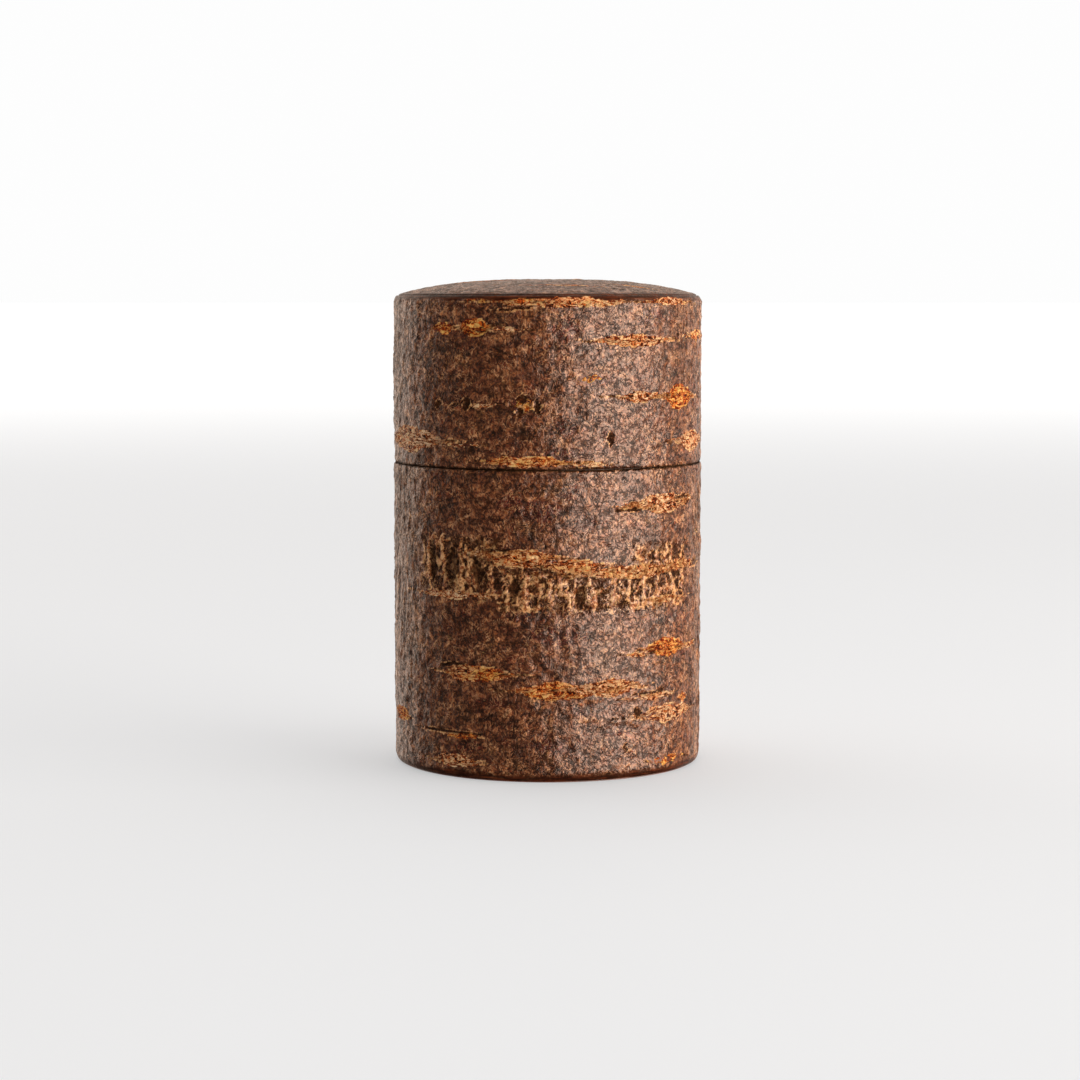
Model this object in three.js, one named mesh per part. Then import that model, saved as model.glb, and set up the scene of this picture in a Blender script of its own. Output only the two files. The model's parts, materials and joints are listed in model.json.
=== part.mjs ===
// A cylindrical tea caddy covered in rough cherry bark, with a lift-off lid and an inner lid.
//
// It is built up in layers, as such a caddy is. The outer shell is a sheet of rough bark over two
// plies of wood veneer and a lining of smooth bark, made as one tube and then cut into body and lid.
// A thinner tube of bark, veneer and bark is glued into the body. It holds the tea, and it stands up
// past the body as the neck that the lid slides over. Wooden boards close the base and the top.
//
// Millimetres, +Z up. The origin is the middle of the base, on the surface that the caddy stands on.
import * as THREE from "three";

// Driving dimensions of the whole caddy.
const OUTER_RADIUS = 38;
const SEAM_HEIGHT = 74.35; // top of the body's shell, where the lid begins
const RIM_HEIGHT = 115.5; // top edge of the lid's side
const DOME_RISE = 3.9; // middle of the top above that edge
const DOME_POWER = 2.85; // over 2, so the top is flat in the middle and falls away near the rim
const NECK_RISE = 18; // neck above the body's shell

// Thickness of each kind of sheet and board.
const ROUGH_BARK = 1.1;
const TOP_BARK = 1;
const BASE_BARK = 0.8;
const SMOOTH_BARK = 0.4;
const VENEER = 0.6;
const BASE_BOARD = 2.5;
const TOP_BOARD_DROP = 4.3; // underside of the top board below the rim

// Gaps.
const GLUE = 0.1; // film between two glued sheets
const SLIDE = 0.2; // play between the lid's lining and the neck, and round the inner lid's plug
const SEAM_GAP = 0.3; // fine line between body and lid
const FOOT_GAP = 0.25; // the side bark stops this far above the surface

// Inner lid.
const FLANGE_THICKNESS = 2;
const PLUG_DEPTH = 4.25;
const PLUG_CHAMFER = 0.5;
const KNOB_RADIUS = 6.3;
const KNOB_FOOT_RADIUS = 4.2;
const KNOB_WAIST_RADIUS = 3.2;
const KNOB_HEIGHT = 7.3;
const TENON_RADIUS = 2.4;
const TENON_LENGTH = 3.7;

const SEGMENTS = 48;
const FULL_TURN = 2 * Math.PI;

// Radii of the shell's sheets, from the outside in.
const shellBark = sheet(OUTER_RADIUS, ROUGH_BARK);
const shellOuterVeneer = sheet(shellBark.inner - GLUE, VENEER);
const shellInnerVeneer = sheet(shellOuterVeneer.inner - GLUE, VENEER);
const shellLining = sheet(shellInnerVeneer.inner - GLUE, SMOOTH_BARK);

// Radii of the inner tube's sheets.
const neckBark = sheet(shellLining.inner - SLIDE, SMOOTH_BARK);
const tubeVeneer = sheet(neckBark.inner - GLUE, VENEER);
const wellLining = sheet(tubeVeneer.inner - GLUE, SMOOTH_BARK);

// Heights.
const boardRadius = shellOuterVeneer.outer;
const baseBoardLow = BASE_BARK + GLUE;
const shellLow = baseBoardLow + BASE_BOARD + GLUE;
const neckTop = SEAM_HEIGHT + NECK_RISE;
const lidLow = SEAM_HEIGHT + SEAM_GAP;
const topBoardLow = RIM_HEIGHT - TOP_BOARD_DROP;
const lidShellTop = topBoardLow - GLUE;
const flangeLow = neckTop + GLUE;
const flangeTop = flangeLow + FLANGE_THICKNESS;
const faceBarkTop = flangeTop + GLUE + SMOOTH_BARK;
const plugLow = flangeLow - PLUG_DEPTH;

const roughBark = finish(0x5a3a28, 0.55);
const roughTopBark = finish(0x6b5142, 0.55);
const smoothBark = finish(0x6e2f1c, 0.28);
const magnoliaVeneer = finish(0xc9a878, 0.7);
const boardWood = finish(0xb98f60, 0.65);
const cherryWood = finish(0x9a5a35, 0.4);

function sheet(outer, thickness) {
  return { outer, inner: outer - thickness };
}

function finish(color, roughness) {
  return new THREE.MeshStandardMaterial({ color, roughness, metalness: 0 });
}

// A solid turned about +Z from an outline in (radius, height). The outline runs outwards along its
// underside and back along its top. It starts and ends on the axis, or closes on itself.
function turned(name, material, outline) {
  const points = outline.map(([radius, height]) => new THREE.Vector2(radius, height));
  const geometry = new THREE.LatheGeometry(points, SEGMENTS, 0, FULL_TURN).rotateX(Math.PI / 2);
  const mesh = new THREE.Mesh(geometry, material);
  mesh.name = name;
  return mesh;
}

// Points on a quarter of an ellipse, from one angle to another in degrees.
function arc(centreRadius, centreHeight, across, up, from, to, steps) {
  return Array.from({ length: steps + 1 }, (_, i) => {
    const angle = THREE.MathUtils.degToRad(from + ((to - from) * i) / steps);
    return [centreRadius + across * Math.cos(angle), centreHeight + up * Math.sin(angle)];
  });
}

function tube(name, material, { outer, inner }, low, high) {
  return turned(name, material, [
    [inner, low],
    [outer, low],
    [outer, high],
    [inner, high],
    [inner, low],
  ]);
}

// A tube whose top edge is rounded inside and out.
function roundTopTube(name, material, { outer, inner }, low, high) {
  const round = (outer - inner) / 2;
  return turned(name, material, [
    [inner, low],
    [outer, low],
    ...arc(outer - round, high - round, round, round, 0, 180, 4),
    [inner, low],
  ]);
}

function disc(name, material, radius, low, high) {
  return turned(name, material, [
    [0, low],
    [radius, low],
    [radius, high],
    [0, high],
  ]);
}

// Height of the top bark's outer face at a radius.
function domeHeight(radius) {
  return RIM_HEIGHT + DOME_RISE * (1 - (radius / OUTER_RADIUS) ** DOME_POWER);
}

// Points across the dome from one radius to another, a distance below its outer face.
function domeLine(from, to, below) {
  const steps = 8;
  return Array.from({ length: steps + 1 }, (_, i) => {
    const radius = from + ((to - from) * i) / steps;
    return [radius, domeHeight(radius) - below];
  });
}

// The body's sheet of rough bark. Its lower edge is shaved round.
function bodyRoughBark() {
  const { outer, inner } = shellBark;
  const [across, up] = [0.9, 2.2];
  return turned("body_rough_bark", roughBark, [
    [inner, FOOT_GAP],
    ...arc(outer - across, FOOT_GAP + up, across, up, -90, 0, 5),
    [outer, SEAM_HEIGHT],
    [inner, SEAM_HEIGHT],
    [inner, FOOT_GAP],
  ]);
}

// The lid's sheet of rough bark. Its upper edge is shaved round.
function lidRoughBark() {
  const { outer, inner } = shellBark;
  const [across, up] = [0.8, 2];
  return turned("lid_rough_bark", roughBark, [
    [inner, lidLow],
    [outer, lidLow],
    ...arc(outer - across, RIM_HEIGHT - up, across, up, 0, 90, 5),
    [inner, RIM_HEIGHT],
    [inner, lidLow],
  ]);
}

// The domed wooden board that closes the lid.
function lidTopBoard() {
  return turned("lid_top_board", boardWood, [
    [0, topBoardLow],
    [boardRadius, topBoardLow],
    ...domeLine(boardRadius, 0, TOP_BARK + GLUE),
  ]);
}

// The disc of rough bark pressed over the domed board.
function lidTopBark() {
  return turned("lid_top_bark", roughTopBark, [
    ...domeLine(0, boardRadius, TOP_BARK),
    ...domeLine(boardRadius, 0, 0),
  ]);
}

// The inner lid's turned disc: a flange that rests on the neck, a plug that fits in it, and a blind
// hole for the knob's tenon.
function innerLidBoard() {
  const plugRadius = wellLining.inner - SLIDE;
  const flangeRadius = neckBark.inner - SMOOTH_BARK - GLUE;
  const holeRadius = TENON_RADIUS + GLUE;
  return turned("inner_lid_board", cherryWood, [
    [0, plugLow],
    [plugRadius - PLUG_CHAMFER, plugLow],
    [plugRadius, plugLow + PLUG_CHAMFER],
    [plugRadius, flangeLow],
    [flangeRadius, flangeLow],
    [flangeRadius, flangeTop],
    [holeRadius, flangeTop],
    [holeRadius, flangeTop - TENON_LENGTH - GLUE],
    [0, flangeTop - TENON_LENGTH - GLUE],
  ]);
}

// The disc of smooth bark on top of the inner lid, with a hole for the tenon.
function innerLidFaceBark() {
  const face = { outer: neckBark.inner - SMOOTH_BARK - GLUE, inner: TENON_RADIUS + GLUE };
  return tube("inner_lid_face_bark", smoothBark, face, flangeTop + GLUE, faceBarkTop);
}

// The strip of smooth bark round the flange's edge.
function innerLidEdgeBark() {
  const strip = sheet(neckBark.inner, SMOOTH_BARK);
  return roundTopTube("inner_lid_edge_bark", smoothBark, strip, flangeLow, faceBarkTop);
}

function innerLidUnderBark() {
  const radius = wellLining.inner - SLIDE - PLUG_CHAMFER;
  return disc("inner_lid_under_bark", smoothBark, radius, plugLow - GLUE - SMOOTH_BARK, plugLow - GLUE);
}

// The knob, turned in one piece with its tenon: foot, waist, round edge and low crown.
function innerLidKnob() {
  const footLow = faceBarkTop + GLUE;
  const crown = footLow + KNOB_HEIGHT;
  const edgeHeight = 1.5;
  const edgeMiddle = crown - 2.3;
  return turned("inner_lid_knob", cherryWood, [
    [0, flangeTop - TENON_LENGTH],
    [TENON_RADIUS, flangeTop - TENON_LENGTH],
    [TENON_RADIUS, footLow],
    [KNOB_FOOT_RADIUS, footLow],
    [KNOB_FOOT_RADIUS, footLow + 0.5],
    [KNOB_WAIST_RADIUS + 0.2, footLow + 1.3],
    [KNOB_WAIST_RADIUS, footLow + 2.2],
    [KNOB_WAIST_RADIUS + 0.7, footLow + 3.1],
    ...arc(KNOB_RADIUS - edgeHeight, edgeMiddle, edgeHeight, edgeHeight, -80, 55, 6),
    [KNOB_RADIUS * 0.5, crown - 0.35],
    [0, crown],
  ]);
}

const caddy = new THREE.Group();

// The body: base, shell and inner tube.
caddy.add(
  disc("base_bark", smoothBark, boardRadius, 0, BASE_BARK),
  disc("base_board", boardWood, boardRadius, baseBoardLow, baseBoardLow + BASE_BOARD),
  bodyRoughBark(),
  tube("body_outer_veneer", magnoliaVeneer, shellOuterVeneer, shellLow, SEAM_HEIGHT),
  tube("body_inner_veneer", magnoliaVeneer, shellInnerVeneer, shellLow, SEAM_HEIGHT),
  tube("body_shell_lining", smoothBark, shellLining, shellLow, SEAM_HEIGHT),
  roundTopTube("neck_bark", smoothBark, neckBark, shellLow, neckTop),
  tube("tube_veneer", magnoliaVeneer, tubeVeneer, shellLow, neckTop),
  roundTopTube("well_lining_bark", smoothBark, wellLining, shellLow, neckTop),
  disc("well_floor_bark", smoothBark, wellLining.inner - GLUE, shellLow, shellLow + SMOOTH_BARK),
);

// The inner lid.
caddy.add(
  innerLidBoard(),
  innerLidFaceBark(),
  innerLidEdgeBark(),
  innerLidUnderBark(),
  innerLidKnob(),
);

// The lid.
caddy.add(
  lidRoughBark(),
  tube("lid_outer_veneer", magnoliaVeneer, shellOuterVeneer, lidLow, lidShellTop),
  tube("lid_inner_veneer", magnoliaVeneer, shellInnerVeneer, lidLow, lidShellTop),
  tube("lid_lining_bark", smoothBark, shellLining, lidLow, lidShellTop),
  lidTopBoard(),
  lidTopBark(),
  disc("lid_ceiling_bark", smoothBark, shellLining.inner - GLUE, lidShellTop - SMOOTH_BARK, lidShellTop),
);

export default caddy;
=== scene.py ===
"""The looks of a cylindrical tea caddy covered in rough cherry bark, built round its CAD frame.

The caddy is made of wrapped sheets, discs and a few turned pieces, so every piece here is an outline
turned about the Z axis. The rough bark on the body, the lid and the domed top is a fine mesh with real
relief: lens-shaped lenticels of golden cork, a net of ridges, granules, wrinkles and shaved edges.
Each sheet carries its own flat coordinates and masks as attributes, and the node materials paint it
from those. The caddy's sizes are in millimetres until a mesh is made, and the stage's in metres.
Angles are in degrees round from the front, positive to the right.
"""

import json
import math
from collections import namedtuple

import bpy
import numpy as np
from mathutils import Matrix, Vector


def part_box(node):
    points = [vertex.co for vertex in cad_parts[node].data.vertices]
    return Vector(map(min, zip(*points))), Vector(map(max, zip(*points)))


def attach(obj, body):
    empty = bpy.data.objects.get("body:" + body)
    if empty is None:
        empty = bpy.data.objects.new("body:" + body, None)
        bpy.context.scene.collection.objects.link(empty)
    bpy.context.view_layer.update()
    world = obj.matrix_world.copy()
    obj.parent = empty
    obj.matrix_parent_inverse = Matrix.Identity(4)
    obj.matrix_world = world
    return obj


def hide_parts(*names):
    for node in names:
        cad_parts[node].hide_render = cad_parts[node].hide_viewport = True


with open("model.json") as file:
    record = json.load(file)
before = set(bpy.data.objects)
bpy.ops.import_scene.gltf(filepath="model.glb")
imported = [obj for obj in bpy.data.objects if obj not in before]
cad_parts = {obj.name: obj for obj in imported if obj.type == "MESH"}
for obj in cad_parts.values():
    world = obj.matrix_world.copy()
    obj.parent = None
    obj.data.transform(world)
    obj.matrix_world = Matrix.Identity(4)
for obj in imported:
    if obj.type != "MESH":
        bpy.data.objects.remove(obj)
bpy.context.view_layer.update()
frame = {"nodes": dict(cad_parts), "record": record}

MM = 0.001
TINY = 1e-6

# Meshes.
SLEEVE_COLUMNS = 590
ROW_STEP = 0.46
DOME_COLUMNS = 420
DOME_RING_STEP = 0.42
PLAIN_COLUMNS = 240
JOINT_GAP = 0.12  # between the two ends of a wrapped sheet
BEVEL = 0.08  # on the edges of boards and discs

# Shapes that the frame's boxes and radii don't give.
FOOT_ROUND = (0.9, 2.2)  # shaved lower edge of the body's sheet: across, up
RIM_ROUND = (0.8, 2.0)  # shaved upper edge of the lid's sheet
DOME_POWER = 2.85  # the top falls away from its middle by the radius to this power
TOP_BARK = 1.0  # thickness of the sheet on the dome
GLUE = 0.1  # film between two glued sheets
PLUG_CHAMFER = 0.5  # on the inner lid's plug
RIM_SHAVED = 0.7  # share of the rim's round that is shaved smooth
DOME_SHAVED = 0.9  # width of the shaved ring round the dome
DOME_RELIEF = 0.55  # how much of the bark's relief is left on the pressed dome
BOARD_RING_STEP = 2.3  # between the rings of points under the dome's bark and on its board
KNOB_FOOT, KNOB_WAIST = 0.667, 0.508  # shares of the knob's radius
KNOB_FOOT_EDGE = 0.5  # height of the foot's upright edge
KNOB_WAIST_UP = 2.2  # from the foot's underside to the waist
KNOB_ROUND = 1.5  # radius of the knob's edge
KNOB_ROUND_DOWN = 2.3  # from the crown to the middle of that edge

# Lenticels are scattered over the back, from this share of the way round to the joint.
BACK_FROM = 0.52
BACK_MARGIN = 3  # kept clear at the sheet's upper and lower edges
BACK_SPACING = 4  # height of sheet for each scattered lenticel
BODY_SEED, LID_SEED, DOME_SEED = 100, 200, 300

# Angles of the butt joints in the wrapped sheets. The sheets of bark have theirs near the back. The
# plies of veneer have theirs well apart, and alike in body and lid, which are cut from one tube.
BACK = 180
PLY_JOINTS = {
    "body_outer_veneer": 128,
    "body_inner_veneer": -104,
    "body_shell_lining": 171,
    "neck_bark": 180,
    "tube_veneer": 71,
    "well_lining_bark": 176,
    "inner_lid_edge_bark": 158,
    "lid_outer_veneer": 128,
    "lid_inner_veneer": -104,
    "lid_lining_bark": 171,
}


def rows_of(kind, *rows):
    """A table of marks of one kind."""
    return [kind(*row) for row in rows]


# A lens of cork: its middle, half its width and half its height. show says how much of it is bare
# cork, and orange how far its colour goes from pale tan to orange. Both run from 0 to 1.
Lenticel = namedtuple("Lenticel", "along up half_width half_height show orange")

# Places on the sleeves give angles for along and half_width, and millimetres above the base for up.
LID_LENTICELS = rows_of(
    Lenticel,
    (8, 113.9, 24, 1.5, 1.0, 0.35),
    (50, 114.0, 15, 1.0, 0.9, 0.30),
    (-17, 114.3, 16, 0.6, 0.6, 0.70),
    (-41, 107.8, 6, 1.9, 0.8, 0.95),
    (-27.5, 108.0, 7, 2.4, 0.9, 0.85),
    (-15, 107.4, 9, 0.5, 0.6, 0.20),
    (33, 104.9, 18, 1.7, 1.0, 0.25),
    (74, 105.8, 15, 1.2, 0.6, 0.40),
    (57, 91.3, 12, 3.2, 1.0, 0.75),
    (37, 91.6, 13, 1.2, 0.8, 0.10),
    (-24, 89.6, 5, 0.5, 0.7, 0.10),
    (-8.5, 89.6, 4, 2.0, 0.4, 0.80),
    (-62, 81.0, 24, 3.3, 1.0, 0.10),
    (-34, 80.2, 9, 0.5, 0.5, 0.20),
    (-7, 76.4, 19, 1.4, 0.9, 0.50),
    (15, 76.0, 9, 0.7, 0.6, 0.30),
    (68, 80.5, 16, 2.6, 0.8, 0.15),
    (14.5, 96.0, 6, 0.8, 0.35, 1.00),
)
BODY_LENTICELS = rows_of(
    Lenticel,
    (47, 66.0, 14, 2.7, 1.0, 0.20),
    (33, 65.8, 9, 0.9, 0.6, 0.20),
    (62, 66.2, 7, 1.3, 0.7, 0.20),
    (-9, 53.6, 15, 2.4, 1.0, 0.42),
    (-24, 54.6, 9, 0.8, 0.8, 0.20),
    (10, 51.8, 12, 1.8, 1.0, 0.45),
    (36, 50.0, 31, 1.6, 1.0, 0.35),
    (58, 51.0, 10, 1.4, 0.9, 0.40),
    (-39, 44.3, 19, 0.9, 0.8, 0.15),
    (50, 43.0, 14, 1.0, 0.7, 0.30),
    (-4, 50.0, 2, 1.1, 1.0, 0.20),
    (5, 50.5, 1.6, 0.8, 1.0, 0.25),
    (9, 49.8, 2, 1.1, 1.0, 0.25),
    (49, 31.0, 13, 2.6, 0.9, 0.70),
    (34, 29.9, 7, 0.5, 0.6, 0.30),
    (64, 30.6, 7, 0.9, 0.5, 0.30),
    (-27, 25.7, 16, 2.5, 0.8, 0.50),
    (-22, 25.7, 5, 1.9, 0.8, 0.95),
    (4, 22.0, 19, 2.3, 0.9, 0.60),
    (22, 22.5, 16, 2.2, 0.9, 0.20),
    (42, 19.6, 13, 0.9, 0.7, 0.15),
    (60, 18.0, 3, 1.2, 0.9, 0.70),
    (50, 15.0, 20, 2.6, 0.5, 0.20),
    (-71, 13.0, 10, 2.0, 0.8, 0.85),
    (-32, 10.4, 9, 0.9, 0.6, 0.85),
    (-36, 4.2, 12, 2.0, 0.9, 0.20),
    (50, 3.6, 11, 1.0, 0.4, 0.90),
)
DOME_LENTICELS = rows_of(
    Lenticel,
    (-14, -9, 9, 1.3, 0.7, 0.30),
    (13, 4, 11, 1.6, 0.8, 0.25),
    (-4, 17, 8, 1.1, 0.6, 0.45),
    (20, -20, 6, 1.0, 0.6, 0.50),
    (-24, 12, 5, 0.9, 0.5, 0.30),
    (4, -27, 10, 0.9, 0.6, 0.35),
)

# A pit, a crack or a dark, reddish and broken stain: its middle, half its width and half its height.
Spot = namedtuple("Spot", "along up half_width half_height")

LID_PITS = rows_of(
    Spot,
    (-31, 90.0, 2.3, 1.7), (-36, 89.8, 2.2, 0.8), (-43, 89.6, 1.4, 1.0),
    (-9, 91.0, 1.6, 1.2), (-10.5, 88.2, 1.8, 1.4), (-4, 89.4, 1.3, 2.0),
    (23, 81.8, 1.2, 1.8), (-12, 112.3, 9, 0.35),
)
BODY_PITS = rows_of(
    Spot,
    (34, 16.0, 1.7, 1.4), (29, 7.6, 1.1, 1.5), (-41, 11.2, 22, 0.4),
    (40, 20.6, 9, 0.35), (-37, 27.6, 8, 0.35), (59, 67.0, 8, 0.35),
    (33, 64.9, 9, 0.3), (-16, 55.2, 12, 0.3), (-37, 51.0, 3.2, 6.0),
    (-46, 51.5, 2.2, 5.5), (-26, 50.0, 3.0, 3.6), (-12, 46.5, 2.6, 3.0),
    (12, 44.0, 2.4, 3.0),
)
LID_STAINS = rows_of(
    Spot,
    (-9, 89.8, 5, 2.6), (-33, 90.0, 8, 1.6), (7, 107.5, 7, 4.0),
    (14, 103.0, 6, 1.6), (42, 110.5, 10, 2.6), (-31, 107.5, 12, 2.4),
    (17, 95.5, 7, 1.4), (22, 82.0, 4, 2.4), (5, 84.0, 6, 3.4),
    (6, 78.5, 12, 2.0),
)
BODY_STAINS = rows_of(
    Spot,
    (-3, 64.5, 12, 3.6), (8, 69.5, 6, 3.0), (-14, 67.0, 7, 1.8),
    (14, 62.0, 5, 3.0), (-7, 40.0, 11, 2.4), (4, 35.0, 14, 3.0),
    (30, 41.0, 9, 1.6), (47, 38.0, 12, 1.6), (13, 17.5, 8, 1.8),
    (-21, 19.0, 9, 1.6), (3, 9.0, 14, 2.6), (-30, 8.0, 8, 2.0),
    (28, 12.0, 8, 2.2),
)

# A standing ridge in the wrinkled belt: its angle, and the heights of its two ends.
Ridge = namedtuple("Ridge", "along low high")

BODY_RIDGES = rows_of(
    Ridge,
    (-55, 45, 57), (-49, 44, 60), (-42, 44, 61), (-33, 43, 60), (-30, 43, 57), (-21, 43, 53),
    (-15, 41, 52), (-8, 40, 51), (1, 40, 50), (7, 39, 48), (16, 40, 50), (24, 40, 52),
    (30, 42, 57), (38, 41, 54), (44, 41, 56), (52, 40, 57), (59, 42, 56),
)

# The wrinkled belt's net of ridges: left and right ends, lowest and highest heights.
Belt = namedtuple("Belt", "left right low high")

BODY_BELTS = rows_of(
    Belt,
    (-57, -14, 43, 60),
    (-22, 66, 39, 53),
    (28, 66, 45, 58),
)

# Upright wrinkles, where the sheet was bent tightest when it was wrapped.
BODY_WRINKLES = rows_of(
    Belt,
    (-118, -46, 14, 84),
    (58, 120, -4, 84),
)
LID_WRINKLES = rows_of(
    Belt,
    (-120, -52, 66, 120),
    (38, 74, 86, 120),
    (88, 148, 68, 120),
)

BODY_MARKS = {
    "lenticels": BODY_LENTICELS,
    "pits": BODY_PITS,
    "stains": BODY_STAINS,
    "ridges": BODY_RIDGES,
    "belts": BODY_BELTS,
    "wrinkles": BODY_WRINKLES,
}
LID_MARKS = {
    "lenticels": LID_LENTICELS,
    "pits": LID_PITS,
    "stains": LID_STAINS,
    "ridges": (),
    "belts": (),
    "wrinkles": LID_WRINKLES,
}


# ---------- Reading the frame


def radii(node):
    """Smallest and largest radius of a CAD node, in mm."""
    corners = np.array([corner.co for corner in frame["nodes"][node].data.vertices])
    distances = np.hypot(corners[:, 0], corners[:, 1]) / MM
    return distances.min(), distances.max()


def heights(node):
    """Lowest and highest height of a CAD node, in mm."""
    low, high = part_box(node)
    return low.z / MM, high.z / MM


# ---------- Noise and soft edges, on arrays of places


def soft_step(low, high, value):
    """0 up to low, 1 from high on, and a smooth rise between them."""
    share = np.clip((value - low) / (high - low), 0, 1)
    return share * share * (3 - 2 * share)


def noise(x, y, wide, tall, seed):
    """Smooth seeded noise from -1 to 1, in blobs this wide and tall."""
    side = 256
    table = np.random.default_rng(seed).uniform(-1, 1, (side, side))
    column, row = np.floor(x / wide), np.floor(y / tall)
    across = soft_step(0, 1, x / wide - column)
    upward = soft_step(0, 1, y / tall - row)
    column, row = column.astype(int) % side, row.astype(int) % side
    next_column, next_row = (column + 1) % side, (row + 1) % side
    lower = table[column, row] * (1 - across) + table[next_column, row] * across
    upper = table[column, next_row] * (1 - across) + table[next_column, next_row] * across
    return lower * (1 - upward) + upper * upward


def ridges(x, y, wide, tall, seed):
    """1 along thin wandering lines, falling towards 0 in the cells between them."""
    return (1 - np.abs(noise(x, y, wide, tall, seed))) ** 4


# ---------- Rough bark: relief and masks over the places of one sheet


MASKS = ("cork", "orange", "net", "lace", "pit", "stain", "fold", "shaved")


class Bark:
    """Relief in mm and paint masks of rough bark, at places x along a sheet and y up it, in mm.

    cork is bare cork, orange its colour, net the pale ridges, lace the belt that finer ones fill, pit
    the dark cracks and the painted shade along sawn edges, stain the dark red patches, fold the upright
    wrinkles, and shaved the edges that a knife has smoothed. All of these run from 0 to about 1. flow is
    a height up the sheet that closes in towards the two tips of each lenticel, so that its grain does.
    """

    def __init__(self, x, y, seed):
        self.seed = seed
        self.plain = (x, y)
        self.x = x + 0.55 * noise(x, y, 2.3, 1.2, seed) + 0.3 * noise(x, y, 0.9, 0.7, seed + 1)
        self.y = y + 0.4 * noise(x, y, 3.1, 1.4, seed + 2) + 0.22 * noise(x, y, 1.0, 0.6, seed + 3)
        for mask in MASKS:
            setattr(self, mask, np.zeros_like(x))
        self.orange += 0.35
        self.flow = y.copy()
        swell = 0.08 * noise(x, y, 17, 11, seed + 4) + 0.05 * noise(x, y, 6, 4.5, seed + 5)
        clots = 0.13 * noise(x, y, 3.4, 4.2, seed + 9) + 0.1 * self.ridges(2.2, 3.4, 12)
        crumbs = 0.13 * noise(x, y, 1.6, 1.7, seed + 6) + 0.1 * noise(x, y, 0.85, 0.95, seed + 7)
        lines = 0.05 * self.ridges(8, 1.3, 8)
        self.relief = swell + clots + crumbs + lines

    def noise(self, wide, tall, number):
        """Noise at the ragged places, seeded by this number."""
        return noise(self.x, self.y, wide, tall, self.seed + number)

    def ridges(self, wide, tall, number):
        """Ridges at the ragged places, seeded by this number."""
        return ridges(self.x, self.y, wide, tall, self.seed + number)

    def lens(self, along, up, half_width, half_height):
        """How deep each place lies in a lens with pointed ends, 1 in its middle and 0 outside."""
        share = np.clip(np.abs(self.x - along) / half_width, 0, 1)
        room = np.maximum(half_height * np.cos(share * math.pi / 2) ** 1.3, TINY)
        return np.clip(1 - ((self.y - up) / room) ** 2, 0, 1) * (share < 1)

    def pinch(self, spot, depth):
        """Draws the flow lines of a lenticel together towards its tips."""
        share = np.clip(np.abs(self.x - spot.along) / spot.half_width, 0, 0.93)
        spread = (self.y - spot.up) / np.cos(share * math.pi / 2) ** 1.3
        self.flow += (spot.up + spread - self.flow) * soft_step(0, 0.35, depth)

    def mark(self, mask, share):
        """Raises a mask to at least this share."""
        setattr(self, mask, np.maximum(getattr(self, mask), share))

    def belt(self, belt, side=5, end=3):
        """1 inside a belt of the sheet and 0 outside, fading over its sides and ends."""
        across = soft_step(belt.left, belt.left + side, self.x)
        across *= soft_step(-belt.right, side - belt.right, -self.x)
        up = soft_step(belt.low, belt.low + end, self.y)
        up *= soft_step(-belt.high, end - belt.high, -self.y)
        return across * up

    def add_lenticels(self, lenticels):
        flakes = 0.6 * self.noise(1.5, 0.6, 10)
        flakes += 0.4 * self.noise(0.7, 0.45, 11)
        for spot in lenticels:
            depth = self.lens(spot.along, spot.up, spot.half_width, spot.half_height)
            self.pinch(spot, depth)
            bare = spot.show * soft_step(0, 0.4, depth)
            self.orange += (spot.orange - self.orange) * soft_step(0, 0.3, depth)
            self.mark("cork", bare * (0.85 + 0.4 * flakes))
            self.relief += spot.show * depth * (0.16 + 0.34 * flakes)
            self.pit *= 1 - 0.85 * np.clip(bare, 0, 1)
            outside = 1 - soft_step(0, 0.3, depth)
            slit = self.lens(spot.along, spot.up, spot.half_width * 1.6, 0.28 + 0.1 * spot.half_height)
            lips = self.lens(spot.along, spot.up, spot.half_width * 1.5, 0.6 + 0.3 * spot.half_height)
            self.mark("net", 0.75 * spot.show * outside * soft_step(0, 0.4, lips))
            self.mark("pit", 0.85 * outside * soft_step(0, 0.5, slit))
            self.relief += outside * (0.1 * lips - 0.22 * slit)

    def add_net(self, belts, lines):
        """A net of pale ridges with dark cells, within belts of the sheet."""
        upright = self.ridges(2.6, 6, 20) ** 2
        level = self.ridges(4.2, 2.3, 21) ** 2
        wander = 0.8 * self.noise(9, 3.2, 22)
        stand = np.zeros_like(self.x)
        for line in lines:
            near = soft_step(-0.7, -0.05, -np.abs(self.x + wander - line.along))
            foot = soft_step(line.low, line.low + 2, self.y)
            top = soft_step(-line.high, 2 - line.high, -self.y)
            stand = np.maximum(stand, near * foot * top)
        for belt in belts:
            inside = self.belt(belt)
            woven = np.maximum(np.maximum(0.8 * upright, 0.75 * level), stand)
            self.mark("lace", inside)
            self.mark("net", inside * woven)
            self.mark("pit", 0.56 * inside * soft_step(0.3, 0.75, 1 - woven))
            self.relief += inside * (0.3 * woven - 0.16)

    def add_wrinkles(self, belts):
        folds = self.ridges(1.7, 15, 30)
        folds += 0.5 * self.ridges(1.5, 8, 31)
        uneven = 0.5 + 0.5 * soft_step(-0.5, 0.5, self.noise(6, 11, 32))
        for belt in belts:
            inside = self.belt(belt, side=15, end=12) * uneven
            self.mark("fold", inside)
            self.relief += inside * (0.24 * folds - 0.14)

    def add_pits(self, pits):
        for pit in pits:
            depth = self.lens(pit.along, pit.up, pit.half_width, pit.half_height)
            around = self.lens(pit.along, pit.up, pit.half_width + 0.5, pit.half_height + 0.45)
            lip = soft_step(0, 0.3, around) * (1 - soft_step(0, 0.4, depth))
            self.mark("pit", soft_step(0, 0.5, depth))
            self.mark("net", 0.55 * lip)
            self.relief += 0.1 * lip - 0.26 * soft_step(0, 0.6, depth)

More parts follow.
